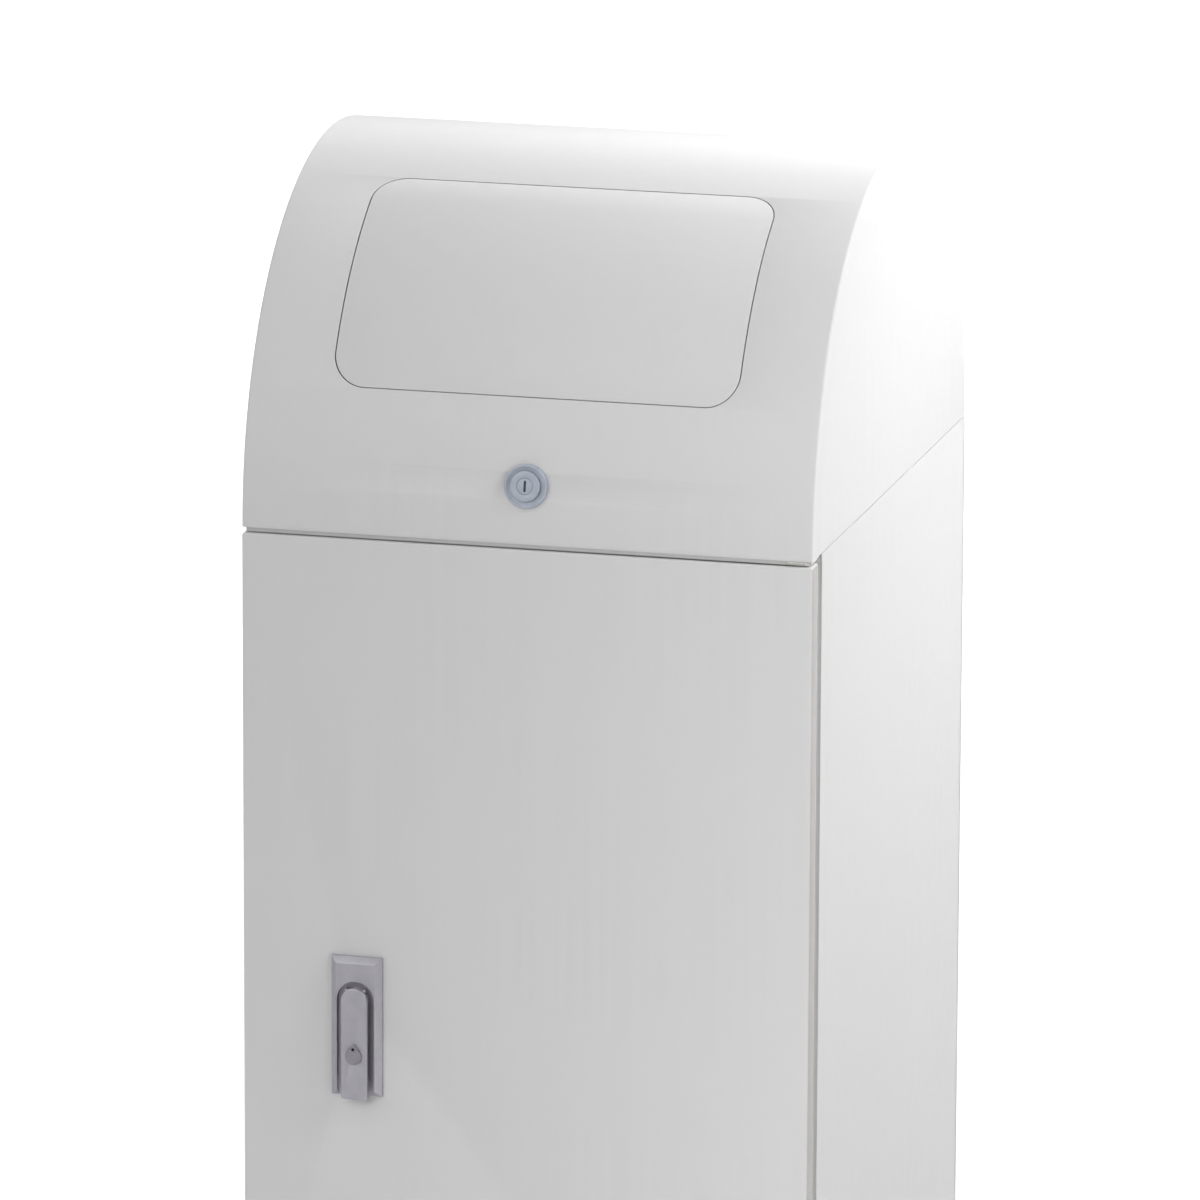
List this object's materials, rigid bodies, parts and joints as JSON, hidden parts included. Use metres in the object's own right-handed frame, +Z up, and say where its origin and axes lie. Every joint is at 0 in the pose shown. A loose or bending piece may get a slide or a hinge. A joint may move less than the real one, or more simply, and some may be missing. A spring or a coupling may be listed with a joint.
{
  "type": "parcel locker",
  "caption": "Free-standing steel parcel locker: barrel hood with push-in drop flap and cam lock, full-width door with swing handle, anchored plinth.",
  "frame": {"origin": "on the floor, under the middle of the body", "axes": "+Z up, -Y towards the door and flap, +X to the right seen from the front"},
  "size_m": [0.42, 0.5211, 1.0999],
  "materials": {
    "cabinet_paint": "satin powder coat",
    "inner_paint": "satin powder coat",
    "plinth_paint": "satin powder coat",
    "zinc": "satin zinc die casting",
    "lock_steel": "satin chrome",
    "plated_steel": "bright zinc plate",
    "rubber_black": "matte",
    "rubber_grey": "matte",
    "nylon": "matte"
  },
  "bodies": {
    "cabinet": {"plinth": "plinth_paint", "floor_panel": "inner_paint", "floor_mat": "rubber_black", "left_side_panel": "cabinet_paint", "right_side_panel": "cabinet_paint", "back_panel": "cabinet_paint", "front_frame": "inner_paint", "top_frame": "inner_paint", "lock_keeper": "plated_steel", "hood_seal": "rubber_black", "slide_plate": "inner_paint", "upper_pivot": "plated_steel", "lower_pivot": "plated_steel", "thrust_washer": "nylon", "hinge_fixed_leaf": "cabinet_paint", "hinge_pin": "plated_steel", "hinge_screws": "plated_steel", "prop_bracket": "plated_steel", "prop_pin": "plated_steel", "prop_clip": "nylon"},
    "hood": {"hood_skin": "cabinet_paint", "left_hood_cheek": "cabinet_paint", "right_hood_cheek": "cabinet_paint", "hood_rim": "inner_paint", "hinge_moving_leaf": "cabinet_paint", "flap_brackets": "plated_steel", "flap_pin": "plated_steel", "flap_springs": "plated_steel", "lock_rose": "lock_steel", "lock_barrel": "lock_steel", "lock_nut": "plated_steel", "prop_catch": "plated_steel"},
    "flap": {"flap_panel": "cabinet_paint", "flap_stop": "rubber_grey", "flap_ribs": "inner_paint", "flap_knuckles": "plated_steel"},
    "hood_lock": {"lock_plug": "lock_steel", "lock_cam": "plated_steel", "cam_screw": "plated_steel"},
    "door": {"door_skin": "cabinet_paint", "door_liner": "inner_paint", "door_stiffeners": "inner_paint", "door_bushes": "nylon", "door_gasket": "rubber_grey", "handle_plate": "zinc", "latch_housing": "zinc", "housing_screws": "plated_steel"},
    "latch_spindle": {"spindle_hub": "zinc", "spindle_shaft": "plated_steel", "lever_pin": "plated_steel", "latch_cam": "plated_steel", "latch_nut": "plated_steel"},
    "lever": {"lever_grip": "zinc", "shutter_rivet": "plated_steel"},
    "lever_lock": {"lever_plug": "lock_steel"},
    "shutter": {"key_shutter": "zinc"},
    "prop": {"prop_rod": "plated_steel"}
  },
  "joints": [
    {"name": "hood_hinge", "type": "hinge", "parent": "cabinet", "child": "hood", "pos_m": [0, 0.2545, 0.85], "axis": [-1, 0, 0], "range_deg": [0, 80]},
    {"name": "flap_hinge", "type": "hinge", "parent": "hood", "child": "flap", "pos_m": [0, -0.10164, 1.06962], "axis": [1, 0, 0], "range_deg": [0, 55], "stiffness_Nm_per_rad": 0.6, "springref_deg": -97.4},
    {"name": "hood_lock_turn", "type": "hinge", "parent": "hood", "child": "hood_lock", "pos_m": [0, -0.24648, 0.8918], "axis": [0, -0.9859, 0.1672], "range_deg": [0, 90]},
    {"name": "door_hinge", "type": "hinge", "parent": "cabinet", "child": "door", "pos_m": [0.2, -0.241, 0.465], "axis": [0, 0, 1], "range_deg": [0, 120]},
    {"name": "latch_turn", "type": "hinge", "parent": "door", "child": "latch_spindle", "pos_m": [-0.1243, -0.25, 0.5056], "axis": [0, 1, 0], "range_deg": [0, 90]},
    {"name": "lever_pull", "type": "hinge", "parent": "latch_spindle", "child": "lever", "pos_m": [-0.1243, -0.2549, 0.5123], "axis": [-1, 0, 0], "range_deg": [0, 30]},
    {"name": "lever_lock_turn", "type": "hinge", "parent": "lever", "child": "lever_lock", "pos_m": [-0.1243, -0.2569, 0.46465], "axis": [0, 1, 0], "range_deg": [0, 90]},
    {"name": "shutter_swing", "type": "hinge", "parent": "lever", "child": "shutter", "pos_m": [-0.1243, -0.2609, 0.47045], "axis": [0, 1, 0], "range_deg": [-90, 90]},
    {"name": "prop_swing", "type": "hinge", "parent": "cabinet", "child": "prop", "pos_m": [0.178, -0.15, 0.838], "axis": [1, 0, 0], "range_deg": [0, 45]}
  ]
}
